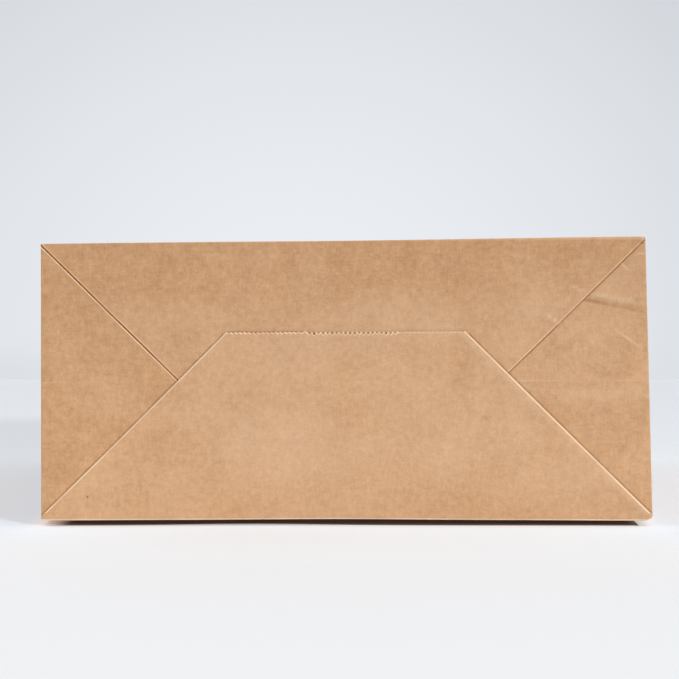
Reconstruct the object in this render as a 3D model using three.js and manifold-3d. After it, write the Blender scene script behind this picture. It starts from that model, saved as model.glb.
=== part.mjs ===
// A paper gift bag, opened out and lying on one broad panel with its block bottom towards -Y.
// The bag is one sheet: a gusseted tube whose cut end is folded in and pasted shut as the bottom.
// Millimetres, +Z up. X runs across the bag, Y from its bottom to its mouth.
import * as THREE from "three";
import { mergeVertices } from "three/addons/utils/BufferGeometryUtils.js";
import Module from "manifold-3d";

// Driving dimensions
const bagWidth = 330; // across a broad panel
const bagDepth = 152; // across a gusset, which is also the bottom's short side
const bagHeight = 406; // from the outer face of the bottom to the tips of the mouth's teeth
const paper = 0.2; // thickness of one ply of the sheet
const flapOverlap = 52; // how far the two flaps of the bottom lap over each other
const toothPitch = 2.5; // of the serrated knife that cuts both ends of the sheet
const toothDepth = 1.2;
const foldTuck = 8; // how far the gussets lean in where their creases meet, half a depth up the bag
const mouthTuck = 30; // how far the gussets lean in at the mouth
const toeLift = 2.5; // how far the bottom's lower edge stands clear of the table

// Sizes that follow from the folds
const flapLength = (bagDepth + flapOverlap) / 2; // from the bottom's long edge to the sheet's cut end
const flapPly = 2 * paper; // a flap's corners are turned under it, so it is double
const halfWidth = bagWidth / 2;
const halfDepth = bagDepth / 2;
const mouthY = bagHeight / 2;
const faceY = -bagHeight / 2; // outer face of the outer flap
const innerFlapY = faceY + flapPly; // outer face of the inner flap
const baseY = innerFlapY + flapPly; // outer face of the gusset ends, which are folded in first
const foldY = baseY + halfDepth; // where the creases of a flat-folded bag meet
const flapEndHalf = halfWidth - flapLength; // half the width of a flap at its cut end

// Steps of the smooth twist that each half of a gusset takes on its way to the mouth
const gussetSteps = 6;

// Reach of a cutting solid past the faces that it cuts
const cutterReach = 1;

const wasm = await Module();
wasm.setup();

function solidOf(geometry) {
  const bare = geometry.index ? geometry.toNonIndexed() : geometry.clone();
  bare.deleteAttribute("normal");
  bare.deleteAttribute("uv");
  const merged = mergeVertices(bare);
  return new wasm.Manifold(
    new wasm.Mesh({
      numProp: 3,
      vertProperties: merged.attributes.position.array,
      triVerts: new Uint32Array(merged.index.array),
    }),
  );
}

function geometryOf(solid) {
  const { vertProperties, triVerts } = solid.getMesh();
  const geometry = new THREE.BufferGeometry()
    .setAttribute("position", new THREE.BufferAttribute(vertProperties, 3))
    .setIndex(new THREE.BufferAttribute(triVerts, 1))
    .toNonIndexed();
  geometry.computeVertexNormals();
  return geometry;
}

// The height of a gusset that leans in by a tuck: its two halves keep their width.
function gussetHeight(tuck) {
  return 2 * Math.sqrt(halfDepth ** 2 - tuck ** 2);
}

// One section of the tube: four corners and the two gusset creases, run round from the lower left.
// An inset moves every wall inwards by that much.
function section(y, low, tuck, inset) {
  const high = low + gussetHeight(tuck);
  const x = halfWidth - inset;
  const creaseX = halfWidth - tuck - inset * Math.hypot(1, tuck / halfDepth);
  const middle = (low + high) / 2;
  return [
    [-x, low + inset],
    [x, low + inset],
    [creaseX, middle],
    [x, high - inset],
    [-x, high - inset],
    [-creaseX, middle],
  ].map(([px, pz]) => new THREE.Vector3(px, y, pz));
}

const creasePlaces = [2, 5]; // of the gusset creases in a section

// A closed solid lofted through sections. A gusset face is split from the corner of one section to
// the crease of the next, which is the diagonal crease that a flat-folded bag leaves at its bottom.
function lofted(sections) {
  const triangles = [];
  const count = sections[0].length;
  for (let s = 0; s + 1 < sections.length; s++) {
    const [near, far] = [sections[s], sections[s + 1]];
    for (let i = 0; i < count; i++) {
      const j = (i + 1) % count;
      if (creasePlaces.includes(j)) triangles.push(near[i], far[j], near[j], near[i], far[i], far[j]);
      else triangles.push(near[i], far[i], near[j], near[j], far[i], far[j]);
    }
  }
  const cap = (points, flip) => {
    const flat = points.map((p) => new THREE.Vector2(p.x, p.z));
    for (const [a, b, c] of THREE.ShapeUtils.triangulateShape(flat, [])) {
      triangles.push(points[a], points[flip ? c : b], points[flip ? b : c]);
    }
  };
  cap(sections[0], false);
  cap(sections.at(-1), true);
  return solidOf(new THREE.BufferGeometry().setFromPoints(triangles));
}

// The sections from the crossing of the creases to the mouth.
function gussetSections(inset) {
  return Array.from({ length: gussetSteps + 1 }, (_, step) => {
    const share = step / gussetSteps;
    const y = THREE.MathUtils.lerp(foldY, mouthY, share);
    return section(y, 0, THREE.MathUtils.lerp(foldTuck, mouthTuck, share), inset);
  });
}

// The tube with its closed end, hollowed to one ply of paper.
function tube() {
  const outer = lofted([section(baseY, toeLift, 0, 0), ...gussetSections(0)]);
  const inner = lofted([
    section(baseY + paper, toeLift, 0, paper),
    ...gussetSections(paper),
    section(mouthY + cutterReach, 0, mouthTuck, paper),
  ]);
  return outer.subtract(inner);
}

// The zigzag that the serrated knife leaves along a length, as points from one end to the other.
// The tips lie on the line and the valleys below it.
function zigzag(length) {
  const teeth = Math.max(1, Math.round(length / toothPitch));
  const pitch = length / teeth;
  const points = [new THREE.Vector2(0, 0)];
  for (let i = 0; i < teeth; i++) {
    points.push(new THREE.Vector2((i + 0.5) * pitch, -toothDepth));
    points.push(new THREE.Vector2((i + 1) * pitch, 0));
  }
  return points;
}

// A plate in the plane of the bottom. Its outline is in X and Z, and it fills y from near to far.
function bottomPlate(outline, near, far) {
  const geometry = new THREE.ExtrudeGeometry(new THREE.Shape(outline), {
    depth: far - near,
    bevelEnabled: false,
  });
  geometry.rotateX(Math.PI / 2);
  geometry.translate(0, far, 0);
  return solidOf(geometry);
}

// A flap of the bottom, folded in from the lower or the upper long edge. Its sides are mitred at
// 45 degrees, where its corners are turned under it.
function flap(fromLowerEdge, near) {
  const edge = fromLowerEdge ? toeLift : toeLift + bagDepth;
  const inwards = fromLowerEdge ? 1 : -1;
  const cutEnd = zigzag(2 * flapEndHalf).map(
    (p) => new THREE.Vector2(p.x - flapEndHalf, edge + inwards * (flapLength + p.y)),
  );
  const corners = [new THREE.Vector2(halfWidth, edge), new THREE.Vector2(-halfWidth, edge)];
  return bottomPlate([...corners, ...cutEnd], near, baseY);
}

// What the gusset ends leave open between them inside the bag, with their two serrated edges.
function gapBetweenGussetEnds() {
  const right = zigzag(bagDepth - 2 * paper).map(
    (p) => new THREE.Vector2(flapEndHalf - p.y, toeLift + paper + p.x),
  );
  const left = right.map((p) => new THREE.Vector2(-p.x, p.y)).reverse();
  return bottomPlate([...right, ...left], baseY, baseY + paper + cutterReach);
}

// The waste that the knife takes from one wall of the mouth, between two corners of its section.
function mouthCutter(from, to) {
  const along = new THREE.Vector3().subVectors(to, from);
  const length = along.length();
  const outline = [
    new THREE.Vector2(-cutterReach, cutterReach),
    ...zigzag(length),
    new THREE.Vector2(length + cutterReach, cutterReach),
  ];
  const geometry = new THREE.ExtrudeGeometry(new THREE.Shape(outline), {
    depth: 2 * cutterReach,
    bevelEnabled: false,
  });
  geometry.translate(0, 0, -cutterReach);
  const axisY = new THREE.Vector3(0, 1, 0);
  along.normalize();
  const across = new THREE.Vector3().crossVectors(along, axisY);
  geometry.applyMatrix4(new THREE.Matrix4().makeBasis(along, axisY, across).setPosition(from));
  return solidOf(geometry);
}

function giftBag() {
  let bag = tube()
    .subtract(gapBetweenGussetEnds())
    .add(flap(false, innerFlapY))
    .add(flap(true, faceY));
  const mouth = section(mouthY, 0, mouthTuck, 0);
  mouth.forEach((corner, i) => {
    bag = bag.subtract(mouthCutter(corner, mouth[(i + 1) % mouth.length]));
  });
  return geometryOf(bag);
}

const kraft = new THREE.MeshStandardMaterial({ color: 0xcda37d, roughness: 0.85, metalness: 0 });

const bag = new THREE.Mesh(giftBag(), kraft);
bag.name = "bag";

const part = new THREE.Group();
part.name = "paper_gift_bag";
part.add(bag);

export default part;
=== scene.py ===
"""A brown paper gift bag lying on a pale studio floor, its folded bottom towards the camera."""
import math

import bmesh
import bpy
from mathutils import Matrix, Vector, noise


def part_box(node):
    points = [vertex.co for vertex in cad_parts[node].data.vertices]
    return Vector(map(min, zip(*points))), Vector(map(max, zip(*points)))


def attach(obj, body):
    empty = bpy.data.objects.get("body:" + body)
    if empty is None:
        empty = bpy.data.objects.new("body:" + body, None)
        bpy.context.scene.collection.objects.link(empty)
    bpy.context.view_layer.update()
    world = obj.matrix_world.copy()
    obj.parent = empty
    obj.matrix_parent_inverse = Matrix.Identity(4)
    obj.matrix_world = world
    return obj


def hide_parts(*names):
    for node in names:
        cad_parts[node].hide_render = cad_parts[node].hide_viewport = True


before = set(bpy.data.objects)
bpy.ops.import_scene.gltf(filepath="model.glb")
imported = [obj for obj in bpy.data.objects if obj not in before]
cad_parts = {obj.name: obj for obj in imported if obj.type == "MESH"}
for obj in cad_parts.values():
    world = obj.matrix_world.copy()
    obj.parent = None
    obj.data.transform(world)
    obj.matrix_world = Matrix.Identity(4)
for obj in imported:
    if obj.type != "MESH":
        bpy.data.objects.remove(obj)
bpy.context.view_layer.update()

# Sizes are in millimetres, and are scaled to metres where Blender takes them. The stage is in metres.
MM = 0.001

# The bag's box in the frame, and the driving sizes that its folds follow
BOX_LOW, BOX_HIGH = (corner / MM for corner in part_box("bag"))
TOE_LIFT = 2.5
WIDTH = BOX_HIGH.x - BOX_LOW.x
DEPTH = BOX_HIGH.z - TOE_LIFT
HALF_WIDTH = WIDTH / 2
HALF_DEPTH = DEPTH / 2
PAPER = 0.2
FLAP_LENGTH = 102.9
TOOTH_PITCH = 2.5
TOOTH_DEPTH = 1.2
FOLD_TUCK = 8.0
MOUTH_TUCK = 30.0

# Folds, measured at the middle of the paper
TURN_RADIUS = 0.2
PASTE_GAP = 0.22
STEP = 2 * TURN_RADIUS + PASTE_GAP
FOLD_RADIUS = 0.55
FOLD_WORN = 0.25
CORNER_RADIUS = 0.8
CREASE_ROUNDING = 0.8

# Y of the gusset ends, the innermost layer of the bottom, and the bag's length from there
BASE_Y = BOX_LOW.y + PAPER / 2 + 2 * STEP
LENGTH = BOX_HIGH.y - BASE_Y


def clamp(value, low, high):
    return min(high, max(low, value))


def lerp(a, b, share):
    return a + (b - a) * share


def smoothstep(low, high, value):
    share = clamp((value - low) / (high - low), 0.0, 1.0)
    return share * share * (3 - 2 * share)


def soft_max(a, b, rounding):
    return (a + b + math.sqrt((a - b) ** 2 + rounding**2)) / 2


def soft_min(a, b, rounding):
    return -soft_max(-a, -b, rounding)


def bell(distance, width):
    """1 in the middle, falling off smoothly on both sides."""
    return math.exp(-((distance / width) ** 2))


# How far apart the noises of two seeds lie
SEED_STEPS = (17.3, -9.1, 4.7)


def wave(kind, x, y=0.0, z=0.0):
    """Smooth noise at a point. Its kind is the height and size of its bumps, and a seed."""
    height, size, seed = kind
    place = [value / size + step * seed for value, step in zip((x, y, z), SEED_STEPS)]
    return height * noise.noise(Vector(place))


# The walls: four sides of a tube, each from its first corner to the next
LOWER, RIGHT, UPPER, LEFT = range(4)
SIDE_LENGTH = (WIDTH, DEPTH, WIDTH, DEPTH)
INWARDS = ((-1, 1), (-1, -1), (1, -1), (1, 1))  # from the corner at the end of each side
OUTWARDS = {RIGHT: 1, LEFT: -1}

# How the panels lie
TOE_RUN = 76.0
TOE_CURL = 1.6
PANEL_SAG = 4.0
PANEL_SAG_RUN = (40.0, 300.0)
PANEL_DIP = 1.1
PANEL_DIP_RUN = 16.0
SHOULDER = 1.25
SHOULDER_START = -30.0
SHOULDER_RUN = 50.0
SHOULDER_ROUNDING = 0.8

# Where the walls are slack, and their waves: height, size and seed
SLACK_RUN = (2.0, 60.0)
PANEL_EDGE = 25.0
GUSSET_EDGE = 20.0
MOUTH_RUN = 150.0
PANEL_WAVE = (0.7, 75.0, 1)
PANEL_BUCKLE = (0.45, 52.0, 6)
BUCKLE_LEVEL = 0.135
PANEL_MOUTH_WAVE = (2.2, 110.0, 2)
GUSSET_WAVES = {RIGHT: (0.7, 60.0, 4), LEFT: (0.7, 60.0, 6)}
GUSSET_MOUTH_WAVES = {RIGHT: (2.2, 80.0, 6), LEFT: (2.2, 80.0, 8)}

# The tube's corners, which are sharp at the bottom, and the wear along corners and creases
SHARP_CORNER = 0.05
CORNER_RUN = 12.0
EDGE_WEAR = 0.3
CREASE_WEAR = 0.22
CREASE_BAND = 0.9


def shoulder(x):
    """How far the upper panel stands above its fold, which is rounder towards the right."""
    return SHOULDER * smoothstep(SHOULDER_START, HALF_WIDTH, x)


def tuck_at(v):
    """How far the gussets are tucked in, at a distance from the bottom."""
    if v <= HALF_DEPTH:
        return FOLD_TUCK * v / HALF_DEPTH
    return lerp(FOLD_TUCK, MOUTH_TUCK, (v - HALF_DEPTH) / (LENGTH - HALF_DEPTH))


def lower_height(v):
    """The resting panel lies on the floor, and curls up towards the bottom's edge."""
    return PAPER / 2 + TOE_LIFT * max(0.0, 1 - v / TOE_RUN) ** TOE_CURL


def upper_height(v):
    """Height of the tube's upper corners, which come down as the gussets tuck in."""
    folded = 2 * math.sqrt(HALF_DEPTH**2 - tuck_at(v) ** 2)
    return folded + TOE_LIFT * max(0.0, 1 - v / HALF_DEPTH)


def near_mouth(v):
    return smoothstep(LENGTH - MOUTH_RUN, LENGTH, v)


def panel_height(x, v, edge):
    """Height of the upper panel: it sags, dips at the crease across it, and is slack off its edges."""
    y = BASE_Y + v
    across = 2 * x / WIDTH
    z = upper_height(v) - PANEL_SAG * (1 - across**2) * smoothstep(*PANEL_SAG_RUN, v)
    z += shoulder(x) * math.exp(-v / SHOULDER_RUN)
    z -= PANEL_DIP * math.exp(-abs(v - HALF_DEPTH) / PANEL_DIP_RUN)
    waves = wave(PANEL_WAVE, x, y) + near_mouth(v) * wave(PANEL_MOUTH_WAVE, x, y)
    waves += BUCKLE_LEVEL - abs(wave(PANEL_BUCKLE, x, y))
    return z + waves * smoothstep(*SLACK_RUN, v) * smoothstep(0, PANEL_EDGE, edge)


def gusset_lean(v, across):
    """How far a gusset leans in, at a distance from its centre crease."""
    from_edge = HALF_DEPTH - math.sqrt(across**2 + CREASE_ROUNDING**2)
    if v < HALF_DEPTH:
        return FOLD_TUCK * max(0.0, soft_min(v, from_edge, 2 * CREASE_ROUNDING)) / HALF_DEPTH
    return tuck_at(v) * max(0.0, from_edge) / HALF_DEPTH


def gusset_reach(side, across, v, edge):
    """How far a gusset stands from the bag's middle: it leans in, and is slack off its edges."""
    y = BASE_Y + v
    waves = wave(GUSSET_WAVES[side], 0.0, y, across)
    waves += near_mouth(v) * wave(GUSSET_MOUTH_WAVES[side], 0.0, y, across)
    slack = smoothstep(*SLACK_RUN, v) * smoothstep(0, GUSSET_EDGE, edge)
    return HALF_WIDTH - gusset_lean(v, across) + slack * waves


def wall_point(side, along, v):
    """A point of the tube: along its side from the side's first corner, and v from the bottom."""
    edge = min(along, SIDE_LENGTH[side] - along)
    if side == LOWER:
        x = along - HALF_WIDTH
        z = lower_height(v)
    elif side == UPPER:
        x = HALF_WIDTH - along
        z = panel_height(x, v, edge)
    else:
        across = (along - HALF_DEPTH) * OUTWARDS[side]
        x = gusset_reach(side, across, v, edge) * OUTWARDS[side]
        z = lerp(lower_height(v), upper_height(v), across / DEPTH + 0.5)
    radius = SHARP_CORNER + CORNER_RADIUS * smoothstep(0, CORNER_RUN, v)
    for corner, distance in ((side, SIDE_LENGTH[side] - along), (side - 1, along)):
        if distance < radius:
            pull = (radius - distance) ** 2 / (4 * radius)
            x += INWARDS[corner][0] * pull
            z += INWARDS[corner][1] * pull
    return Vector((x, BASE_Y + v, z))


def upper_half(side, along):
    """Whether a point lies where the flat-folded bag is bent over: the upper panel and half the gussets."""
    return side == UPPER or (side == RIGHT and along > HALF_DEPTH) or (side == LEFT and along < HALF_DEPTH)


def wall_wear(side, along, v):
    """How far the tube's corners, its centre creases and the crease across it are scuffed."""
    wear = EDGE_WEAR * max(0.0, 1 - min(along, SIDE_LENGTH[side] - along) / CORNER_RADIUS)
    from_creases = []
    if side in OUTWARDS and v > HALF_DEPTH - CREASE_BAND:
        from_creases.append(abs(along - HALF_DEPTH))
    if upper_half(side, along):
        from_creases.append(abs(v - HALF_DEPTH))
    for distance in from_creases:
        wear = max(wear, CREASE_WEAR * (1 - distance / CREASE_BAND))
    return wear


# The flaps of the bottom
FAR = 9.0  # the longest distance that a field of the paper holds
MITRE_EASE = 0.5
MITRE_ROUNDING = 0.3


class Flap:
    """A flap of the bottom, folded in from a long edge, with its corners turned under. Its mitred sides,
    left and right, start at a distance from that edge and run in with a slope."""

    def __init__(self, edge, upwards, starts, slopes):
        self.edge = edge
        self.upwards = upwards
        self.starts = starts
        self.slopes = slopes

    def slope(self, side, d):
        return self.slopes[side] * smoothstep(-MITRE_EASE, MITRE_EASE, d - self.starts[side])

    def side_x(self, side, d):
        """X of the mitred side, left or right, at a distance from the long edge."""
        inset = self.slopes[side] * soft_max(0.0, d - self.starts[side], MITRE_ROUNDING)
        return (inset - HALF_WIDTH) * (1 - 2 * side)

    def depth_of(self, z):
        return (z - self.edge) * self.upwards

    def side_margin(self, x, z):
        """Distance inside the flap's two mitred sides, negative outside them."""
        d = self.depth_of(z)
        left = (x - self.side_x(0, d)) / math.hypot(1, self.slopes[0])
        right = (self.side_x(1, d) - x) / math.hypot(1, self.slopes[1])
        return min(left, right)

    def margin(self, x, z):
        return min(self.side_margin(x, z), FLAP_LENGTH - self.depth_of(z))

    def outside(self, x, z):
        """For the layers under the flap: minus the distance to its side, and far off past its cut."""
        past_cut = self.depth_of(z) > FLAP_LENGTH - TOOTH_DEPTH
        return -FAR if past_cut else min(0.0, self.side_margin(x, z))


UPPER_FLAP = Flap(edge=TOE_LIFT + DEPTH, upwards=-1, starts=(0.44, 0.0), slopes=(0.9975, 1.0615))
LOWER_FLAP = Flap(edge=TOE_LIFT, upwards=1, starts=(2.0, 2.75), slopes=(1.0, 0.9942))

# Creases and dents: X and Z of both ends, height towards the camera, half width
GUSSET_END_CREASES = (
    ((123.0, 123.9), (163.0, 115.4), -0.6, 1.3),
    ((121.0, 124.3), (141.0, 120.1), -0.25, 1.2),
    ((126.0, 127.2), (163.0, 119.4), 0.35, 2.4),
    ((147.0, 105.8), (162.0, 95.4), 0.45, 1.0),
    ((149.5, 142.6), (156.0, 137.6), 0.45, 1.0),
    ((158.5, 147.0), (165.0, 146.6), 0.45, 0.9),
    ((-160.5, 112.0), (-161.3, 101.0), 0.35, 0.8),
)
UPPER_FLAP_CREASES = (
    ((109.5, 114.6), (117.5, 109.0), 0.55, 1.3),
    ((123.0, 130.4), (133.0, 125.0), 0.42, 1.3),
)
SOFT_FOLDS = (
    ((-128.0, 131.0), (-46.0, 127.5), 0.5, 10.0),
    ((8.0, 136.0), (50.0, 126.0), 0.4, 9.0),
    ((50.0, 126.0), (108.0, 123.0), 0.5, 10.0),
    ((-95.0, 73.0), (-8.0, 76.0), 0.4, 13.0),
    ((-8.0, 51.0), (18.0, 50.0), 0.35, 8.0),
    ((24.0, 63.0), (57.0, 55.0), 0.3, 10.0),
    ((66.5, 98.0), (65.0, 63.0), 0.25, 7.0),
    ((110.0, 75.5), (156.0, 74.5), 0.35, 5.0),
    ((-146.0, 74.5), (-121.0, 73.5), 0.3, 6.0),
)
CREASE_REACH = 4
CREASE_END = 0.35
CREASE_TAPER = 0.12

# The centre crease of the gusset ends, at the left and the right
CENTRE_CREASE_HEIGHTS = (0.2, 0.3)
CENTRE_CREASE_WIDTH = 0.9
CENTRE_CREASE_UNEVEN = (0.8, 23.0, 16)

# Unevenness of the bottom, calm along its edges
CALM_BAND = 14.0
BOTTOM_WAVE = (0.6, 50.0, 7)
BOTTOM_RIPPLE = (0.09, 17.0, 8)

# How the layers lie on each other
COVER_EASE = (-2.0, 0.5)
STEP_UP = (-9.0, -0.5)
END_LIFT = 0.28
END_LIFT_RUN = 7.0
END_LIFT_LEAST = 0.5


def crease_height(creases, x, z):
    """What a set of creases adds at a point: each is a soft ridge or valley along a line."""
    height = 0.0
    point = Vector((x, z))
    for start, end, rise, width in creases:
        start, end = Vector(start), Vector(end)
        run = end - start
        share = clamp((point - start).dot(run) / run.length_squared, 0.0, 1.0)
        distance = (point - start - run * share).length
        if distance < CREASE_REACH * width:
            middle = math.sin(math.pi * lerp(CREASE_TAPER, 1 - CREASE_TAPER, share))
            height += rise * lerp(CREASE_END, 1.0, middle) * bell(distance, width)
    return height


def gusset_end_crease(x, z):
    """Height of a gusset end's creases, its centre crease among them."""
    rise = CENTRE_CREASE_HEIGHTS[x > 0] * (1 + wave(CENTRE_CREASE_UNEVEN, x))
    centre = rise * bell(z - TOE_LIFT - HALF_DEPTH, CENTRE_CREASE_WIDTH)
    return crease_height(GUSSET_END_CREASES, x, z) + centre


def bottom_wave(x, z):
    """The unevenness that all the layers of the bottom share, towards the inside of the bag."""
    edge = min(HALF_WIDTH - abs(x), z - TOE_LIFT, TOE_LIFT + DEPTH - z)
    waves = wave(BOTTOM_WAVE, x, 0.0, z) + wave(BOTTOM_RIPPLE, x, 0.0, z)
    return smoothstep(0, CALM_BAND, edge) * (waves - crease_height(SOFT_FOLDS, x, z))


def gusset_end_y(x, z):
    covered = max(UPPER_FLAP.margin(x, z), LOWER_FLAP.margin(x, z))
    shown = 1 - smoothstep(*COVER_EASE, covered)
    return BASE_Y + bottom_wave(x, z) - shown * gusset_end_crease(x, z)


def upper_flap_y(x, z):
    shown = 1 - smoothstep(*COVER_EASE, LOWER_FLAP.margin(x, z))
    return BASE_Y - STEP + bottom_wave(x, z) - shown * crease_height(UPPER_FLAP_CREASES, x, z)


def lower_flap_y(x, z):
    """The lower flap lies on the gusset ends, and steps up on to the upper flap."""
    over = smoothstep(*STEP_UP, UPPER_FLAP.margin(x, z))
    to_end = FLAP_LENGTH - LOWER_FLAP.depth_of(z)
    lift = END_LIFT * smoothstep(END_LIFT_RUN, 0, to_end) * lerp(END_LIFT_LEAST, 1.0, deep_cut(x))
    return BASE_Y - STEP * (1 + over) + bottom_wave(x, z) - lift


# The serrated cut of the lower flap: shallow at the left, deep in the middle, faint at the right
CUT_LEFT = -22.0
CUT_RIGHT = 28.5
CUT_EASE = 3.0
CUT_DEPTHS = (0.85, 1.6, 0.45)
CUT_LONGER = 0.17
CUT_SWING = (0.12, 21.0, 12)
TOOTH_UNEVEN = (0.55, 3.1, 11)
LONG_TOOTH = 0.8
LONG_TOOTH_SIDE = 0.3
LONG_TOOTH_COLUMN = 35
DEEP_BAND = 0.4

# Wear of the cut, for the deep teeth at their tips and roots
WEAR_UNEVEN = (0.9, 5.5, 18)
FAINT_WEAR = 0.42
DEEP_WEAR = (1.05, 0.45)
DEEP_WEAR_UNEVEN = (0.6, 6.5, 17)


def faint_cut(x):
    """1 where the cut is faint, at the right, and 0 elsewhere."""
    return smoothstep(CUT_RIGHT, CUT_RIGHT + CUT_EASE, x)


def deep_cut(x):
    """1 where the teeth are deep, in the middle, and 0 elsewhere."""
    return smoothstep(CUT_LEFT - CUT_EASE, CUT_LEFT, x) * (1 - faint_cut(x))


def cut_depth(x):
    if x < CUT_LEFT:
        return CUT_DEPTHS[0]
    return CUT_DEPTHS[1] if x < CUT_RIGHT else CUT_DEPTHS[2]


def cut_wear(column, x):
    """How much of the cut's wear shows: less at the roots of the deep teeth, and little at the right."""
    shown = lerp(1.0, FAINT_WEAR, faint_cut(x)) * (1 + wave(WEAR_UNEVEN, x))
    deep = DEEP_WEAR[column % 2] * (1 + wave(DEEP_WEAR_UNEVEN, x))
    return lerp(shown, deep, deep_cut(x))


def lower_cut(column, x, back):
    """How far the lower flap's cut lies back from its full length. A row that lies behind the cut is
    set back more where the teeth are deep, so that their worn band is wider."""
    wider = DEEP_BAND * deep_cut(x) * back
    from_long_tooth = abs(column - LONG_TOOTH_COLUMN)
    if from_long_tooth == 0:
        return wider - LONG_TOOTH
    if from_long_tooth == 1:
        return wider + LONG_TOOTH_SIDE
    longer = CUT_LONGER * (1 - faint_cut(x)) - wave(CUT_SWING, x)
    notch = (column % 2) * cut_depth(x) * (1 + wave(TOOTH_UNEVEN, x))
    return wider - longer + notch


def upper_cut(column, x, back):
    """How far the upper flap's cut lies back: plain teeth, which the lower flap covers."""
    return (column % 2) * TOOTH_DEPTH


# Painted sheen: soft patches where the bottom's paper is painted lighter, or darker where the amount is
# negative: X and Z of the middle, half width, half height, amount
SHEEN_PATCHES = (
    (-20.0, 138.0, 11.0, 14.0, 0.35),
    (-75.0, 112.0, 35.0, 9.0, 0.2),
    (15.0, 113.0, 30.0, 8.0, 0.25),
    (95.0, 120.0, 35.0, 18.0, 0.22),
    (48.0, 110.0, 22.0, 8.0, 0.45),
    (48.0, 106.5, 22.0, 3.0, 0.35),
    (108.0, 142.0, 32.0, 8.0, 0.17),
    (155.0, 131.0, 10.0, 9.0, 0.15),
    (-30.0, 46.0, 58.0, 17.0, 0.32),
    (-95.0, 45.0, 30.0, 22.0, -0.4),
    (-150.0, 135.0, 25.0, 18.0, -0.25),
    (51.0, 39.0, 16.0, 14.0, 0.25),
    (6.0, 58.0, 14.0, 9.0, -0.35),
    (65.0, 85.0, 6.0, 20.0, -0.35),
    (132.0, 71.0, 26.0, 3.5, 0.5),
    (140.0, 48.0, 22.0, 12.0, -0.3),
    (-133.0, 66.0, 15.0, 9.0, 0.3),
    (-152.0, 40.0, 12.0, 30.0, -0.22),
)
# Clouds and spots that make the painted sheen uneven
SHEEN_CLOUDS = (0.25, 27.0, 13)
SHEEN_SPOTS = (0.15, 11.0, 14)

# Painted sheen and tone of each layer: the walls evenly, the gusset ends at the left and right (the right
# one lighter, as painted light from the right), and the flaps at two heights (the upper flap lighter lower
# down, the lower flap lighter overall, as painted sheen)
WALL_TONE = 0.4
GUSSET_END_PAINTED_LIGHT = (0.13, 0.43)
UPPER_FLAP_SHEEN = (0.05, 0.4)
UPPER_SHEEN_HEIGHTS = (134.0, 116.0)
UPPER_SHEEN_WAVE = (8.0, 30.0, 15)
LOWER_FLAP_SHEEN = (0.5, 0.7)
LOWER_SHEEN_HEIGHTS = (8.0, 28.0)

# Where the lines along the lower flap's sides end, above the toe, and how far they are moved away there
SIDE_LINE_END = (4.5, 2.0)
SIDE_LINE_SHIFT = 2.5


def painted_sheen_and_tone(x, z):
    """Painted sheen: soft patches and clouds where the paper is painted lighter or darker, that all the
    layers of the bottom share.
    """
    amount = wave(SHEEN_CLOUDS, x, 0.0, z) + wave(SHEEN_SPOTS, x, 0.0, z)
    for middle_x, middle_z, half_width, half_height, patch in SHEEN_PATCHES:
        amount += patch * bell(x - middle_x, half_width) * bell(z - middle_z, half_height)
    return amount


# The fields of each layer, for its shading
PLAIN_FIELDS = {
    "upper": -FAR,
    "lower": -FAR,
    "cut": -FAR,
    "crease": 0.0,
    "painted_sheen_and_tone": WALL_TONE,
    "slant": FAR,
    "toe": -FAR,
}


def wall_fields(x, z):
    return PLAIN_FIELDS


def gusset_end_fields(x, z):
    return PLAIN_FIELDS | {
        "upper": UPPER_FLAP.outside(x, z),
        "lower": LOWER_FLAP.outside(x, z),
        "crease": gusset_end_crease(x, z),
        "painted_sheen_and_tone": painted_sheen_and_tone(x, z) + GUSSET_END_PAINTED_LIGHT[x > 0],
        "slant": -FAR,
    }


def upper_flap_fields(x, z):
    lowest = smoothstep(*UPPER_SHEEN_HEIGHTS, z + wave(UPPER_SHEEN_WAVE, x))
    return PLAIN_FIELDS | {
        "upper": UPPER_FLAP.side_margin(x, z),
        "lower": LOWER_FLAP.outside(x, z),
        "cut": LOWER_FLAP.depth_of(z) - FLAP_LENGTH,
        "crease": crease_height(UPPER_FLAP_CREASES, x, z),
        "painted_sheen_and_tone": painted_sheen_and_tone(x, z) + lerp(*UPPER_FLAP_SHEEN, lowest),
    }


def lower_flap_fields(x, z):
    d = LOWER_FLAP.depth_of(z)
    return PLAIN_FIELDS | {
        "lower": LOWER_FLAP.side_margin(x, z) + SIDE_LINE_SHIFT * smoothstep(*SIDE_LINE_END, d),
        "painted_sheen_and_tone": painted_sheen_and_tone(x, z) + lerp(*LOWER_FLAP_SHEEN, smoothstep(*LOWER_SHEEN_HEIGHTS, z)),
        "toe": d,
    }


def slant(side, along, v):
    """Distance from the slanting creases of a gusset, which start from the bottom's corners."""
    if side in OUTWARDS:
        return (v - min(along, DEPTH - along)) / math.sqrt(2)
    return FAR


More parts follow.
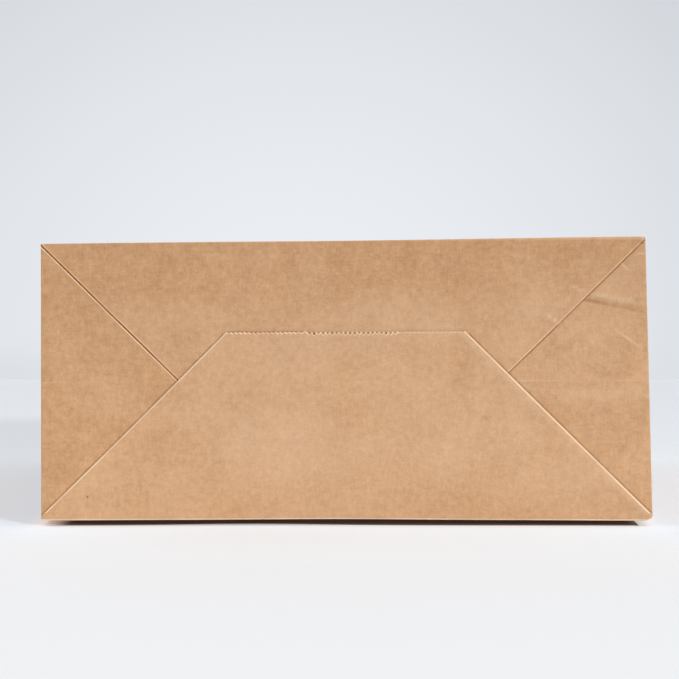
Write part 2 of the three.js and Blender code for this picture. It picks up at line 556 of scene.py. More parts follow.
class Sheet:
    """Points and faces of the paper. With each point go the fields that its shading needs: how far a
    fold or cut has scuffed it, the distances of its layer from the two flaps' sides and the cut, the
    height of the creases there, how far the paper is painted lighter as painted sheen and tone, and the
    distances from slanting creases and from the toe, the edge that the lower flap folds round."""

    def __init__(self):
        self.points = []
        self.faces = []
        self.fields = {name: [] for name in ("wear", *PLAIN_FIELDS)}

    def row(self, points, wear=0.0, fields_of=wall_fields):
        first = len(self.points)
        for point in points:
            self.points.append(point)
            self.fields["wear"].append(wear)
            for name, value in fields_of(point.x, point.z).items():
                self.fields[name].append(clamp(value, -FAR, FAR))
        return list(range(first, len(self.points)))

    def band(self, a, b):
        """Quads between two rows of as many points."""
        for i in range(len(a) - 1):
            self.faces.append((a[i], a[i + 1], b[i + 1], b[i]))

    def stitch(self, a, a_places, b, b_places):
        """Triangles between two rows with different points, by how far along each point is."""
        i = j = 0
        while i + 1 < len(a) or j + 1 < len(b):
            next_a = a_places[i + 1] if i + 1 < len(a) else math.inf
            next_b = b_places[j + 1] if j + 1 < len(b) else math.inf
            if next_a <= next_b:
                self.faces.append((a[i], a[i + 1], b[j]))
                i += 1
            else:
                self.faces.append((a[i], b[j + 1], b[j]))
                j += 1


sheet = Sheet()

# Cells of the walls, and the serrated cut round the mouth
PANEL_CELLS = 56
GUSSET_CELLS = 16
FOLD_CELL = HALF_DEPTH / GUSSET_CELLS
WALL_CELL = 9.0
MOUTH_MARGIN = 7.0
LAST_ROW = LENGTH - MOUTH_MARGIN
MOUTH_BAND = 2.4
MOUTH_WEAR = 0.6
MOUTH_UNEVEN = (0.25, 4.0, 9)
SIDES_APART = 50.0


def panel_places():
    """How far along a broad panel its points lie, without its last corner."""
    near = [0.0, CORNER_RADIUS / 2, CORNER_RADIUS]
    cell = WIDTH / PANEL_CELLS
    return near + [k * cell for k in range(1, PANEL_CELLS)] + [WIDTH - near[2], WIDTH - near[1]]


def gusset_places():
    """How far along a gusset its points lie, without its last corner."""
    half = [0.0, CORNER_RADIUS / 2, CORNER_RADIUS]
    half += [k * FOLD_CELL for k in range(1, GUSSET_CELLS)]
    half.append(HALF_DEPTH - CREASE_BAND)
    return half + [HALF_DEPTH] + [DEPTH - place for place in half[:0:-1]]


def wall_rows():
    """How far from the bottom the rows of the walls are."""
    rows = [k * FOLD_CELL for k in range(1, GUSSET_CELLS)]
    rows += [HALF_DEPTH - CREASE_BAND, HALF_DEPTH, HALF_DEPTH + CREASE_BAND]
    count = math.ceil((LAST_ROW - rows[-1]) / WALL_CELL)
    return rows + [lerp(HALF_DEPTH + CREASE_BAND, LAST_ROW, k / count) for k in range(1, count + 1)]


def even_places(length, cells):
    return [length * k / cells for k in range(cells)]


def ring(places_of_sides, v, wear=0.0):
    """A closed row round the tube, with the distance of each point round it. The first point is
    given again at the end."""
    row, places, start = [], [], 0.0
    for side, side_places in enumerate(places_of_sides):
        for along in side_places:
            place = sheet.row([wall_point(side, along, v)], max(wear, wall_wear(side, along, v)))
            sheet.fields["slant"][place[0]] = clamp(slant(side, along, v), -FAR, FAR)
            row += place
            places.append(start + along)
        start += SIDE_LENGTH[side]
    return row + row[:1], places + [start]


def add_walls():
    """The tube, whose gusset cells are split along the slanting creases near the bottom."""
    sides = (panel_places(), gusset_places()) * 2
    half_ring = len(sides[0]) + len(sides[1])
    gusset_middle = len(sides[0]) + len(sides[1]) // 2
    rows = wall_rows()
    rings = [ring(sides, v) for v in rows]
    for (a, _), (b, _), v in zip(rings, rings[1:], rows[1:]):
        for i in range(len(a) - 1):
            along = i % half_ring
            if along < len(sides[0]) or v > HALF_DEPTH:
                sheet.faces.append((a[i], a[i + 1], b[i + 1], b[i]))
            elif along < gusset_middle:
                sheet.faces.append((a[i], a[i + 1], b[i + 1]))
                sheet.faces.append((a[i], b[i + 1], b[i]))
            else:
                sheet.faces.append((a[i], a[i + 1], b[i]))
                sheet.faces.append((a[i + 1], b[i + 1], b[i]))
    return rings[0], rings[-1]


def add_mouth(last):
    """The serrated cut round the mouth."""
    cells = [2 * round(length / TOOTH_PITCH) for length in SIDE_LENGTH]
    sides = [even_places(length, count) for length, count in zip(SIDE_LENGTH, cells)]
    row, places = ring(sides, LENGTH - MOUTH_BAND)
    sheet.stitch(last[0], last[1], row, places)
    points = []
    for side, side_places in enumerate(sides):
        for k, along in enumerate(side_places):
            notch = (k % 2) * TOOTH_DEPTH * (1 + wave(MOUTH_UNEVEN, along, side * SIDES_APART))
            points.append(wall_point(side, along, LENGTH - notch))
    tips = sheet.row(points, MOUTH_WEAR)
    sheet.band(row, tips + tips[:1])


# Cells of the bottom's layers
FLAP_TEETH = 53
FLAP_COLUMNS = 2 * FLAP_TEETH
FLAP_ROWS = 56
GUSSET_END_COLUMNS = {RIGHT: 122, LEFT: 84}
GUSSET_END_ROWS = {RIGHT: 62, LEFT: 44}
BEND_STEPS = 6
TURN_STEPS = 6
UNDER_SHARES = (0.04, 0.15, 0.4, 1.0)

# The rim behind the folds, the rows at a flap's cut (how far back, and wear) and the wear of folds
RIM = 2.2
RIM_WEAR = 0.15
CUT_BAND = 3.0
CUT_ROWS = ((0.75, 0.0), (0.5, 1.1), (0.0, 1.25))
SIDE_FOLD_WEAR = 0.1
UPPER_FOLD_WEAR = 0.2

# How much narrower than the bag a gusset's end is, and how soon
END_NARROWING = 0.005
END_NARROWING_RUN = 3.0


def add_rim(first):
    """A fine row just behind the folds of the bottom, which its flaps grow from."""
    counts = (FLAP_COLUMNS, GUSSET_END_COLUMNS[RIGHT], FLAP_COLUMNS, GUSSET_END_COLUMNS[LEFT])
    sides = [even_places(length, count) for length, count in zip(SIDE_LENGTH, counts)]
    row, places = ring(sides, RIM, RIM_WEAR)
    sheet.stitch(row, places, first[0], first[1])
    parts, start = [], 0
    for count in counts:
        parts.append(row[start:start + count + 1])
        start += count
    return parts


def add_gusset_end(side, rim):
    """A gusset's end, folded in flat behind the flaps, with its serrated cut."""
    sign = OUTWARDS[side]
    heights = [min(sheet.points[i].z, UPPER_FLAP.edge) for i in rim]
    middle = TOE_LIFT + HALF_DEPTH
    last = rim
    for k in range(BEND_STEPS + 1):
        turn = math.pi / 2 * k / BEND_STEPS
        x = sign * (HALF_WIDTH - FOLD_RADIUS * (1 - math.cos(turn)))
        y = BASE_Y + FOLD_RADIUS * (1 - math.sin(turn))
        points = [Vector((x, y, z)) for z in heights]
        row = sheet.row(points, SIDE_FOLD_WEAR * math.sin(2 * turn), gusset_end_fields)
        sheet.band(last, row)
        last = row
    rows = GUSSET_END_ROWS[side]
    for k in range(1, rows + 1):
        reach = lerp(FOLD_RADIUS, FLAP_LENGTH, k / rows)
        narrower = 1 - END_NARROWING * smoothstep(0, END_NARROWING_RUN, reach)
        points = []
        for column, height in enumerate(heights):
            cut = TOOTH_DEPTH if k == rows and column % 2 else 0.0
            x = sign * (HALF_WIDTH - reach + cut)
            z = middle + (height - middle) * narrower
            points.append(Vector((x, gusset_end_y(x, z), z)))
        row = sheet.row(points, 0.0, gusset_end_fields)
        sheet.band(last, row)
        last = row


def add_fold(flap, rim, level_of, fields_of):
    """The rounded fold at a flap's long edge. The upper flap's is rounder, and worn, at the right."""
    last = rim
    for k in range(BEND_STEPS + 1):
        turn = math.pi / 2 * k / BEND_STEPS
        points = []
        for i in rim:
            x = sheet.points[i].x
            face = level_of(x, flap.edge + flap.upwards * FOLD_RADIUS)
            rise = shoulder(x) if flap is UPPER_FLAP else 0.0
            y = face + (FOLD_RADIUS + SHOULDER_ROUNDING * rise) * (1 - math.sin(turn))
            z = flap.edge + rise + flap.upwards * (FOLD_RADIUS + rise) * (1 - math.cos(turn))
            points.append(Vector((x, y, z)))
        row = sheet.row(points, 0.0, fields_of)
        if flap is UPPER_FLAP:
            for i in row:
                roundness = shoulder(sheet.points[i].x) / SHOULDER
                sheet.fields["wear"][i] = UPPER_FOLD_WEAR * roundness * math.sin(2 * turn)
        sheet.band(last, row)
        last = row
    return last


def flap_row(flap, d, level_of, cut):
    """The points of a flap at a distance from its long edge, set back by its cut if one is given."""
    points = []
    for column in range(FLAP_COLUMNS + 1):
        x = lerp(flap.side_x(0, d), flap.side_x(1, d), column / FLAP_COLUMNS)
        reach = d - cut(column, x, FLAP_LENGTH - d) if cut else d
        z = flap.edge + flap.upwards * reach
        points.append(Vector((x, level_of(x, z), z)))
    return points


def add_flap(flap, rim, level_of, cut, fields_of):
    """A flap with its rounded fold at the long edge, its mitred sides and the corners under it."""
    last = add_fold(flap, rim, level_of, fields_of)
    sides = [[(last[0], FOLD_RADIUS)], [(last[-1], FOLD_RADIUS)]]
    start, plain = FOLD_RADIUS + FOLD_WORN, FLAP_LENGTH - CUT_BAND
    rows = [(lerp(start, plain, k / FLAP_ROWS), None, 0.0) for k in range(FLAP_ROWS + 1)]
    rows += [(FLAP_LENGTH - back, cut, wear) for back, wear in CUT_ROWS]
    for d, row_cut, wear in rows:
        row = sheet.row(flap_row(flap, d, level_of, row_cut), wear, fields_of)
        for column, i in enumerate(row):
            sheet.fields["wear"][i] *= cut_wear(column, sheet.points[i].x)
        sheet.band(last, row)
        last = row
        sides[0].append((row[0], d))
        sides[1].append((row[-1], d))
    for side in (0, 1):
        add_turned_corner(flap, side, sides[side], level_of, fields_of)


def add_turned_corner(flap, side, edge, level_of, fields_of):
    """The corner beyond a mitred side, turned under the flap in a tight round fold."""
    inwards = 1 - 2 * side
    last_x = flap.side_x(side, FLAP_LENGTH)
    columns = [[place for place, _ in edge]]
    for step in range(1, TURN_STEPS + 1):
        turn = math.pi * step / TURN_STEPS
        points = []
        for place, d in edge:
            out = Vector((-inwards, 0, flap.upwards * flap.slope(side, d))).normalized()
            shift = out * TURN_RADIUS * math.sin(turn)
            shift.y = TURN_RADIUS * (1 - math.cos(turn))
            points.append(sheet.points[place] + shift)
        columns.append(sheet.row(points, 0.0, fields_of))
    for share in UNDER_SHARES:
        points = []
        for place, d in edge:
            x = lerp(sheet.points[place].x, last_x, share)
            z = flap.edge + flap.upwards * d
            points.append(Vector((x, level_of(x, z) + 2 * TURN_RADIUS, z)))
        columns.append(sheet.row(points))
    for a, b in zip(columns, columns[1:]):
        sheet.band(a, b)


# How the real bag departs from square. Corners of the bottom are named by right and top, as 0 or 1.
CORNER_SHIFTS = {(0, 0): (-0.55, 0.7), (1, 0): (2.15, 0.55), (0, 1): (-0.05, -1.05), (1, 1): (-2.5, 1.7)}
SHIFT_RUN = (15.0, 250.0)
CORNER_ROUNDS = {(0, 0): 1.2, (1, 0): 3.6, (0, 1): 0.4, (1, 1): 0.6}
ROUND_RUN = (8.0, 60.0)
ROUND_LIMIT = 1.1
TOP_BOW = 0.5
TOE_SAG = 4.5
TOE_SAG_POWER = 3
TOP_SAG = 1.4
TOP_SAG_POWER = 6
SAG_RUN = 30.0
TOE_RISE = 0.36
TOE_RISE_POWER = 12
TOE_RISE_X = -5.0
TOE_RISE_WIDTH = 50.0
TOE_RISE_RUN = 40.0


def rounded(x, z, v):
    """X and Z of a point near the bottom, after its corners are rounded off."""
    ease = 1 - smoothstep(*ROUND_RUN, v)
    for (right, top), radius in CORNER_ROUNDS.items():
        out_x = x if right else -x
        out_z = z - TOE_LIFT - DEPTH if top else TOE_LIFT - z
        p = min(1 - (HALF_WIDTH - out_x) / radius, ROUND_LIMIT)
        q = min(1 + out_z / radius, ROUND_LIMIT)
        if p > 0 and q > 0:
            move_p = p * (math.sqrt(1 - q * q / 2) - 1) * radius * ease
            move_q = q * (math.sqrt(1 - p * p / 2) - 1) * radius * ease
            x += move_p if right else -move_p
            z += move_q if top else -move_q
    return x, z


def settled(point):
    """A point of the square bag, moved to where it lies on the real one."""
    x, y, z = point
    v = y - BASE_Y
    x, z = rounded(x, z, v)
    share_x = x / WIDTH + 0.5
    share_z = (z - TOE_LIFT) / DEPTH
    near = 1 - smoothstep(*SHIFT_RUN, v)
    for (right, top), (shift_x, shift_z) in CORNER_SHIFTS.items():
        weight = (share_x if right else 1 - share_x) * (share_z if top else 1 - share_z)
        x += near * weight * shift_x
        z += near * weight * shift_z
    arch = max(0.0, 4 * share_x * (1 - share_x))
    z += near * TOP_BOW * arch * (1 - share_x) * share_z
    to_top = max(0.0, share_z)
    to_toe = max(0.0, 1 - share_z)
    sag = TOE_SAG * to_toe**TOE_SAG_POWER + TOP_SAG * to_top**TOP_SAG_POWER
    y += sag * arch * (1 - smoothstep(0, SAG_RUN, v))
    rise = TOE_RISE * bell(x - TOE_RISE_X, TOE_RISE_WIDTH) * min(1.0, to_toe) ** TOE_RISE_POWER
    z += rise * (1 - smoothstep(0, TOE_RISE_RUN, v))
    return Vector((x, y, z))


# The mesh
WELD = 0.001
SHARP_ANGLE = 50.0


def add_object(name, data):
    made = bpy.data.objects.new(name, data)
    bpy.context.collection.objects.link(made)
    return made


def make_bag():
    first, last = add_walls()
    add_mouth(last)
    lower_rim, right_rim, upper_rim, left_rim = add_rim(first)
    add_gusset_end(RIGHT, right_rim)
    add_gusset_end(LEFT, left_rim)
    add_flap(UPPER_FLAP, upper_rim[::-1], upper_flap_y, upper_cut, upper_flap_fields)
    add_flap(LOWER_FLAP, lower_rim, lower_flap_y, lower_cut, lower_flap_fields)

    mesh = bpy.data.meshes.new("folded_bag")
    mesh.from_pydata([settled(point) * MM for point in sheet.points], [], sheet.faces)
    for name, values in sheet.fields.items():
        mesh.attributes.new(name, "FLOAT", "POINT").data.foreach_set("value", values)
    bag = add_object("folded_bag", mesh)
    thicken(bag)
    return bag


def thicken(bag):
    """Drops faces with no area, gives the sheet its thickness and marks its cut edges as sharp."""
    work = bmesh.new()
    work.from_mesh(bag.data)
    bmesh.ops.remove_doubles(work, verts=work.verts, dist=WELD * MM)
    bmesh.ops.dissolve_degenerate(work, edges=work.edges, dist=WELD * MM)
    bmesh.ops.recalc_face_normals(work, faces=work.faces)
    work.to_mesh(bag.data)
    work.free()
    ply = bag.modifiers.new("ply", "SOLIDIFY")
    ply.thickness = PAPER * MM
    ply.offset = 0
    ply.use_quality_normals = True
    bpy.context.view_layer.objects.active = bag
    with bpy.context.temp_override(object=bag, active_object=bag):
        bpy.ops.object.modifier_apply(modifier="ply")
    bag.data.shade_smooth()
    bag.data.set_sharp_from_angle(angle=math.radians(SHARP_ANGLE))


class Shader:
    """The nodes of one material or world, made and joined by short calls."""

    def __init__(self, owner, surface="Principled BSDF"):
        owner.use_nodes = True
        self.owner = owner
        self.tree = owner.node_tree
        self.surface = self.tree.nodes[surface]

    def node(self, kind, **properties):
        made = self.tree.nodes.new(kind)
        for name, value in properties.items():
            setattr(made, name, value)
        return made

    def put(self, socket, value):
        """Sets a socket to a number or a colour, or joins another node's output to it."""
        if isinstance(value, bpy.types.NodeSocket):
            self.tree.links.new(value, socket)
        else:
            socket.default_value = value

    def set(self, name, value):
        self.put(self.surface.inputs[name], value)

    def math(self, operation, a, b=0.0):
        made = self.node("ShaderNodeMath", operation=operation)
        self.put(made.inputs[0], a)
        self.put(made.inputs[1], b)
        return made.outputs[0]

    def length(self, a, b):
        squares = self.math("ADD", self.math("MULTIPLY", a, a), self.math("MULTIPLY", b, b))
        return self.math("SQRT", squares)

    def offset(self, value, middle, reach):
        """How far a value lies from a middle, in shares of a reach."""
        return self.math("DIVIDE", self.math("SUBTRACT", value, middle), reach)

    def ramp(self, value, low, high, from_low=0.0, to_high=1.0):
        """A smooth change from one value to another between two places."""
        made = self.node("ShaderNodeMapRange", interpolation_type="SMOOTHSTEP")
        for socket, number in zip(made.inputs, (value, low, high, from_low, to_high)):
            self.put(socket, number)
        return made.outputs[0]

    def band(self, value, edges):
        rise = self.ramp(value, edges[0], edges[1])
        fall = self.ramp(value, edges[2], edges[3], 1.0, 0.0)
        return self.math("MULTIPLY", rise, fall)

    def mix(self, share, a, b):
        made = self.node("ShaderNodeMix", data_type="RGBA")
        self.put(made.inputs["Factor"], share)
        self.put(made.inputs["A"], a)
        self.put(made.inputs["B"], b)
        return made.outputs["Result"]

    def bump(self, height, distance):
        made = self.node("ShaderNodeBump")
        self.put(made.inputs["Height"], height)
        self.put(made.inputs["Distance"], distance)
        return made.outputs["Normal"]

    def seen(self):
        """1 for what the camera sees, also in a gloss or through glass, and 0 for light."""
        rays = self.node("ShaderNodeLightPath").outputs
        shown = self.math("MAXIMUM", rays["Is Camera Ray"], rays["Is Glossy Ray"])
        return self.math("MAXIMUM", shown, rays["Is Transmission Ray"])

    def place(self):
        return self.node("ShaderNodeTexCoord").outputs["Object"]

    def axis(self, name):
        made = self.node("ShaderNodeSeparateXYZ")
        self.put(made.inputs[0], self.place())
        return made.outputs[name]

    def attribute(self, name):
        return self.node("ShaderNodeAttribute", attribute_name=name).outputs["Fac"]

    def noise(self, scale, detail, stretch=(1, 1, 1), turn=(0, 0, 0)):
        mapping = self.node("ShaderNodeMapping")
        self.put(mapping.inputs["Vector"], self.place())
        self.put(mapping.inputs["Scale"], stretch)
        self.put(mapping.inputs["Rotation"], turn)
        made = self.node("ShaderNodeTexNoise")
        self.put(made.inputs["Vector"], mapping.outputs["Vector"])
        self.put(made.inputs["Scale"], scale)
        self.put(made.inputs["Detail"], detail)
        self.put(made.inputs["Roughness"], NOISE_ROUGHNESS)
        return made.outputs["Fac"]


# Kraft paper, in linear colour
KRAFT_DARK = (0.446, 0.235, 0.1075, 1)
KRAFT_LIGHT = (0.713, 0.425, 0.232, 1)
# A lighter kraft, used for wear, for the painted sheen and for painted highlights
SCUFF_AND_HIGHLIGHT = (0.95, 0.74, 0.525, 1)
FRAYED = (0.95, 0.69, 0.465, 1)
# WARM and PALE are painted highlights, PALE partly wear too; CREVICE is painted shade, and also the colour
# of two dark specks
WARM = (0.98, 0.67, 0.44, 1)
PALE = (1.0, 0.87, 0.74, 1)
CREVICE = (0.23, 0.06, 0.006, 1)

# The noises that make the paper's tone: scale and detail, and how the fibres are stretched and turned
CLOUDS = (45, 2)
MOTTLE = (300, 3)
GRAIN = (900, 2)
FIBRES_ALONG = (330, 3, (4.5, 1, 0.55), (0, 0.12, 0))
FIBRES_ASLANT = (330, 3, (0.6, 1, 4.5), (0, -0.5, 0))
NOISE_ROUGHNESS = 0.6
TONE_WEIGHTS = (0.16, 0.31, 0.22, 0.17, 0.14)
TONE_MIDDLE = 0.5
TONE_CONTRAST = 2.8

# Gloss and bump: roughness at the darkest and lightest tone
ROUGHNESS = (0.86, 0.74)
SPECULAR = 0.3
FIBRE_HEIGHT = 0.05

# Shares of colour for the painted sheen and for wear, and for creases the heights and shares between which
# ridges are painted lighter, as scuff and painted highlight, and valleys darker, as painted shade
SHEEN_SHARE = 0.2
WEAR_SHARE = 0.75
RIDGE_SCUFF_AND_HIGHLIGHT = (0.08, 0.6, 0.0, 0.38)
VALLEY_SHADE = (-0.9, -0.1, 0.45, 0.0)

# Lines beside folds and the cut: where each rises and falls again, colour, strength at left and right.
# CREVICE lines are painted shade, the light lines painted highlights, those of the slanting creases wear,
# and the toe's partly wear, partly painted highlight
LINES = {
    "upper": (
        ((-1.5, -1.0, -0.85, -0.45), WARM, 1.0, 0.0),
        ((0.4, 0.7, 0.8, 1.2), WARM, 0.5, 0.5),
        ((-0.5, -0.2, 0.05, 0.35), CREVICE, 0.95, 0.8),
    ),
    "lower": (
        ((-1.4, -0.9, -0.7, -0.3), CREVICE, 0.4, 0.45),
        ((0.3, 1.2, 1.5, 4.5), SCUFF_AND_HIGHLIGHT, 0.0, 0.12),
        ((-0.2, 0.1, 0.4, 0.8), SCUFF_AND_HIGHLIGHT, 0.65, 1.0),
    ),
    "cut": (
        ((-2.2, -1.7, 0.2, 0.9), CREVICE, 0.3, 0.0),
        ((-2.2, -1.7, -0.9, -0.4), CREVICE, 0.0, 0.95),
    ),
    "slant": (
        ((-0.9, -0.2, 0.2, 0.9), SCUFF_AND_HIGHLIGHT, 0.25, 0.25),
    ),
    "toe": (
        ((-0.8, -0.2, 0.4, 0.9), PALE, 0.62, 0.62),
    ),
}
LINE_NOISE = (55, 2)
LINE_FADING = (0.32, 0.68, 0.7, 1.1)
LEFT_TO_RIGHT = (-25.0, -22.0)  # X where the strength changes over
CUT_ENDS = (63.8, 64.8)  # how far from the middle the cut's lines end

# Dark specks on the bottom: X and Z, radius and strength
SPECKS = (
    (-140.4, 15.9, 0.75, 0.8),
    (160.4, 154.2, 0.75, 0.8),
)
SPECK_CORE = 0.3
BOTTOM_FACE = -190.0


def with_lines(s, colour):
    """The colour with the lines of painted shade and highlight beside the folds and the cut, which fade
    here and there.
    """
    fading = s.ramp(s.noise(*LINE_NOISE), *LINE_FADING)
    x = s.math("DIVIDE", s.axis("X"), MM)
    on_cut = s.ramp(s.math("ABSOLUTE", x), *CUT_ENDS, 1.0, 0.0)
    for name, lines in LINES.items():
        distance = s.attribute(name)
        for edges, line_colour, at_left, at_right in lines:
            strength = s.ramp(x, *LEFT_TO_RIGHT, at_left, at_right)
            share = s.math("MULTIPLY", s.band(distance, edges), strength)
            share = s.math("MULTIPLY", share, fading)
            if name == "cut":
                share = s.math("MULTIPLY", share, on_cut)
            colour = s.mix(share, colour, line_colour)
    return colour


def with_specks(s, colour):
    on_bottom = s.math("LESS_THAN", s.axis("Y"), BOTTOM_FACE * MM)
    for x, z, radius, strength in SPECKS:
        aside = s.offset(s.axis("X"), x * MM, radius * MM)
        above = s.offset(s.axis("Z"), z * MM, radius * MM)
        speck = s.ramp(s.length(aside, above), SPECK_CORE, 1.0, strength, 0.0)
        colour = s.mix(s.math("MULTIPLY", speck, on_bottom), colour, CREVICE)
    return colour


def kraft_material():
    """Brown kraft with a mottled tone and fibres, painted sheen, worn edges, and painted shade and
    highlights beside its folds, its creases and its cut.
    """
    s = Shader(bpy.data.materials.new("kraft_paper"))
    noises = [s.noise(*kind) for kind in (CLOUDS, MOTTLE, GRAIN, FIBRES_ALONG, FIBRES_ASLANT)]
    tone = 0.0
    for part, weight in zip(noises, TONE_WEIGHTS):
        tone = s.math("ADD", tone, s.math("MULTIPLY", part, weight))
    tone = s.math("MULTIPLY", s.math("SUBTRACT", tone, TONE_MIDDLE), TONE_CONTRAST)
    tone = s.math("ADD", tone, TONE_MIDDLE)

    colour = s.mix(tone, KRAFT_DARK, KRAFT_LIGHT)
    # Painted sheen: the paper is mixed towards a lighter kraft, more low on the upper flap, on the lower
    # flap and on the right
    colour = s.mix(s.math("MULTIPLY", s.attribute("painted_sheen_and_tone"), SHEEN_SHARE), colour, SCUFF_AND_HIGHLIGHT)
    colour = with_lines(s, colour)
    colour = s.mix(s.math("MULTIPLY", s.attribute("wear"), WEAR_SHARE), colour, FRAYED)
    crease = s.attribute("crease")
    # Crease ridges painted lighter, as scuff and painted highlight, and valleys darker, as painted shade
    colour = s.mix(s.ramp(crease, *RIDGE_SCUFF_AND_HIGHLIGHT), colour, SCUFF_AND_HIGHLIGHT)
    colour = s.mix(s.ramp(crease, *VALLEY_SHADE), colour, CREVICE)
    s.set("Base Color", with_specks(s, colour))

    s.set("Roughness", s.ramp(tone, 0.0, 1.0, *ROUGHNESS))
    s.set("Specular IOR Level", SPECULAR)
    grain, along, aslant = noises[2:]
    fibres = s.math("ADD", grain, s.math("ADD", along, aslant))
    s.set("Normal", s.bump(fibres, FIBRE_HEIGHT * MM))
    return s.owner


# The table, in metres and linear colour
TABLE_HALF = 7.0
TABLE_NEAR = (0.83, 0.85, 0.885, 1)
TABLE_FAR = (0.805, 0.835, 0.875, 1)
TABLE_FADE = (-0.25, 0.45)
TABLE_FRONT = -0.5
TABLE_DARK = (0.05, 0.05, 0.05, 1)
TABLE_GAP_SHADOW = (0.27, 0.26, 0.26, 1)
TABLE_ROUGHNESS = 0.9
TABLE_SPECULAR = 0.1

# The painted shadow of the gap under the bag: its half sizes, the dip in its front edge and where it fades
# at the left
GAP_HALF_WIDTH = 0.1602
GAP_HALF_LENGTH = 0.1978
GAP_DIP = 0.0085
GAP_DIP_X = -0.05
GAP_DIP_WIDTH = 0.052
GAP_LEFT_FADE = (-0.162, -0.150)
GAP_EDGE = 0.0001
TINY = 0.00001  # keeps a division clear of zero

# Painted light that only the camera sees, filling the shadow round the bag: under it, at its foot and
# farther off
FILL_UNDER = (0.032, 0.015, 0.007, 1)
FILL_FOOT = (0.20, 0.19, 0.19, 1)
FILL_LEFT = (0.34, 0.25, 0.21, 1)
FILL_RIGHT = (0.36, 0.36, 0.36, 1)
FILL_FRONT = (0.22, 0.31, 0.375, 1)
FILL_BESIDE = (0.09, 0.17, 0.25, 1)
FILL_FRONT_ENDS = (0.12, 0.2)
FILL_FRONT_FADE = 0.5
FILL_FOOT_REACH = 0.018
FILL_REACH = 0.06


def table_material():
    """A white table that turns bluish towards the back. Its part well in front of the bag throws hardly any
    light back; painted light that only the camera sees fills the bag's shadow, and the gap under it is
    painted shadow."""
    s = Shader(bpy.data.materials.new("table"))
    x, y = s.axis("X"), s.axis("Y")
    from_middle = s.math("ABSOLUTE", x)

    # How far a point lies from the gap, and whether that is to the front
    dip = s.offset(x, GAP_DIP_X, GAP_DIP_WIDTH)
    dip = s.math("EXPONENT", s.math("MULTIPLY", s.math("MULTIPLY", dip, dip), -1.0))
    half_length = s.math("SUBTRACT", GAP_HALF_LENGTH, s.math("MULTIPLY", dip, GAP_DIP))
    beside = s.math("MAXIMUM", s.math("SUBTRACT", from_middle, GAP_HALF_WIDTH), 0.0)
    before = s.math("MAXIMUM", s.math("SUBTRACT", s.math("ABSOLUTE", y), half_length), 0.0)
    away = s.length(beside, before)
    ahead = s.math("DIVIDE", before, s.math("ADD", s.math("ADD", beside, before), TINY))
    ahead = s.math("MULTIPLY", ahead, s.math("LESS_THAN", y, 0.0))
    under = s.math("MULTIPLY", s.math("LESS_THAN", away, GAP_EDGE), s.ramp(x, *GAP_LEFT_FADE))

    colour = s.mix(s.ramp(y, *TABLE_FADE), TABLE_NEAR, TABLE_FAR)
    # Painted shadow: the table is painted dark in the gap under the bag
    colour = s.mix(under, colour, TABLE_GAP_SHADOW)
    in_front = s.math("LESS_THAN", y, TABLE_FRONT)
    unlit = s.math("MULTIPLY", in_front, s.node("ShaderNodeLightPath").outputs["Is Diffuse Ray"])
    s.set("Base Color", s.mix(unlit, colour, TABLE_DARK))

    # Painted light that only the camera sees, filling the shadow round the bag
    front = s.mix(s.ramp(from_middle, *FILL_FRONT_ENDS, 0.0, FILL_FRONT_FADE), FILL_FRONT, FILL_BESIDE)
    fill = s.mix(ahead, FILL_BESIDE, front)
    foot = s.mix(s.math("GREATER_THAN", x, 0.0), FILL_LEFT, FILL_RIGHT)
    foot = s.mix(ahead, foot, FILL_FOOT)
    fill = s.mix(s.ramp(away, 0.0, FILL_FOOT_REACH), foot, fill)
    s.set("Emission Color", s.mix(under, fill, FILL_UNDER))
    strength = s.math("EXPONENT", s.math("DIVIDE", away, -FILL_REACH))
    s.set("Emission Strength", s.math("MULTIPLY", strength, s.seen()))
    s.set("Roughness", TABLE_ROUGHNESS)
    s.set("Specular IOR Level", TABLE_SPECULAR)
    return s.owner


# The backdrop, in metres and linear colour
BACKDROP_Y = 1.294
BACKDROP_HALF = 3.0
BACKDROP_TOP = 2.0
BLACK = (0, 0, 0, 1)
GLOW = (0.8375, 0.863, 0.894, 1)
GLOW_EDGE = (0.648, 0.674, 0.717, 1)
GLOW_FAR = (0.56, 0.59, 0.63, 1)
GLOW_CENTRE = (-0.047, 0.035)
GLOW_REACH = (0.637, 0.568)
GLOW_POWER = 1.74
GLOW_FAR_REACH = (1.0, 2.2)

# Its duller foot, as two heights or sides and the shares there
GLOW_FOOT = (0.0, 0.06, 0.4, 0.0)
GLOW_FOOT_SIDES = (-0.4, 0.4, 1.0, 0.3)


def backdrop_material():
    """A pale glow that is brightest behind the bag, duller at its foot, and not seen from the back."""
    s = Shader(bpy.data.materials.new("backdrop"))
    x, z = s.axis("X"), s.axis("Z")
    across = s.offset(x, GLOW_CENTRE[0], GLOW_REACH[0])
    up = s.offset(z, GLOW_CENTRE[1], GLOW_REACH[1])
    reach = s.length(across, up)
    colour = s.mix(s.math("POWER", s.math("MINIMUM", reach, 1.0), GLOW_POWER), GLOW, GLOW_EDGE)
    colour = s.mix(s.ramp(reach, *GLOW_FAR_REACH), colour, GLOW_FAR)
    foot = s.math("MULTIPLY", s.ramp(z, *GLOW_FOOT), s.ramp(x, *GLOW_FOOT_SIDES))
    s.set("Base Color", BLACK)
    s.set("Specular IOR Level", 0.0)
    s.set("Emission Color", s.mix(foot, colour, GLOW_EDGE))
    s.set("Emission Strength", 1.0)
    behind = s.node("ShaderNodeNewGeometry").outputs["Backfacing"]
    s.set("Alpha", s.math("SUBTRACT", 1.0, behind))
    return s.owner


def rectangle(name, corners, material):
    mesh = bpy.data.meshes.new(name)
    mesh.from_pydata(corners, [], [(0, 1, 2, 3)])
    mesh.materials.append(material)
    return add_object(name, mesh)


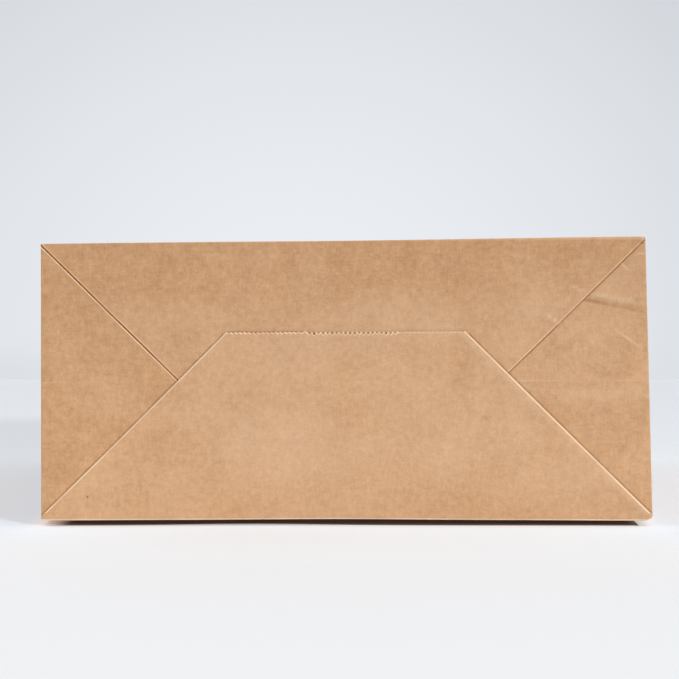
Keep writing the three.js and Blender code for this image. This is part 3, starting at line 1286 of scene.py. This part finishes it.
def make_stage():
    half = TABLE_HALF
    corners = [(-half, -half, 0), (half, -half, 0), (half, half, 0), (-half, half, 0)]
    table = rectangle("table", corners, table_material())
    half, y, top = BACKDROP_HALF, BACKDROP_Y, BACKDROP_TOP
    corners = [(-half, y, 0), (half, y, 0), (half, y, top), (-half, y, top)]
    backdrop = rectangle("backdrop", corners, backdrop_material())


# The sky and the lamp, with its angles in degrees
SKY = (1.0, 0.98, 0.95, 1)
SKY_EVEN = 0.38
SKY_UPWARDS = 0.93
SKY_BACKWARDS = 0.3
SURROUND = (0.87, 0.89, 0.91, 1)
LAMP_AZIMUTH = 38.0
LAMP_ELEVATION = 14.2
LAMP_SPREAD = 4.0
LAMP_STRENGTH = 1.6


def make_sky():
    """A sky that lights most from overhead and from the back, and that looks evenly pale."""
    world = bpy.data.worlds.new("studio")
    bpy.context.scene.world = world
    s = Shader(world, "Background")
    along = s.node("ShaderNodeVectorMath", operation="DOT_PRODUCT")
    s.put(along.inputs[0], s.node("ShaderNodeTexCoord").outputs["Generated"])
    s.put(along.inputs[1], (0, SKY_BACKWARDS, SKY_UPWARDS))
    s.set("Color", SKY)
    s.set("Strength", s.math("ADD", along.outputs["Value"], SKY_EVEN))
    surround = s.node("ShaderNodeBackground")
    s.put(surround.inputs["Color"], SURROUND)
    shown = s.node("ShaderNodeMixShader")
    s.put(shown.inputs["Fac"], s.seen())
    s.put(shown.inputs[1], s.surface.outputs[0])
    s.put(shown.inputs[2], surround.outputs[0])
    s.put(s.tree.nodes["World Output"].inputs["Surface"], shown.outputs[0])


def make_lamp():
    """A lamp in front of the bag, to its right and a little above it."""
    lamp = bpy.data.lights.new("lamp", "SUN")
    lamp.energy = LAMP_STRENGTH
    lamp.angle = math.radians(LAMP_SPREAD)
    made = add_object("lamp", lamp)
    made.rotation_euler = (math.radians(90 - LAMP_ELEVATION), 0, math.radians(LAMP_AZIMUTH))


# The camera: its place, and the height and scale of the bottom's plane in the middle of the image
IMAGE_SIZE = 679
PIXELS_PER_MM = 1.8445
CAMERA_DISTANCE = 1300.0
CAMERA_HEIGHT = 150.0
IMAGE_MIDDLE_HEIGHT = 101.75
BAG_CENTRE_PIXEL = 345.5
SENSOR = 36.0


def make_camera():
    """A camera about as high as the bag's top, which looks a little down."""
    aside = (IMAGE_SIZE / 2 - BAG_CENTRE_PIXEL) / PIXELS_PER_MM
    eye = Vector((aside, BOX_LOW.y - CAMERA_DISTANCE, CAMERA_HEIGHT))
    line = Vector((aside, BOX_LOW.y, IMAGE_MIDDLE_HEIGHT)) - eye
    camera = bpy.data.cameras.new("camera")
    camera.sensor_width = SENSOR
    camera.lens = SENSOR * PIXELS_PER_MM * line.length / IMAGE_SIZE
    made = add_object("camera", camera)
    made.location = eye * MM
    made.rotation_euler = line.to_track_quat("-Z", "Y").to_euler()
    bpy.context.scene.camera = made


make_camera()
make_stage()
make_sky()
make_lamp()
bag = make_bag()
bag.data.materials.append(kraft_material())
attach(bag, "root")
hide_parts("bag")
bpy.context.scene.view_settings.view_transform = "Standard"
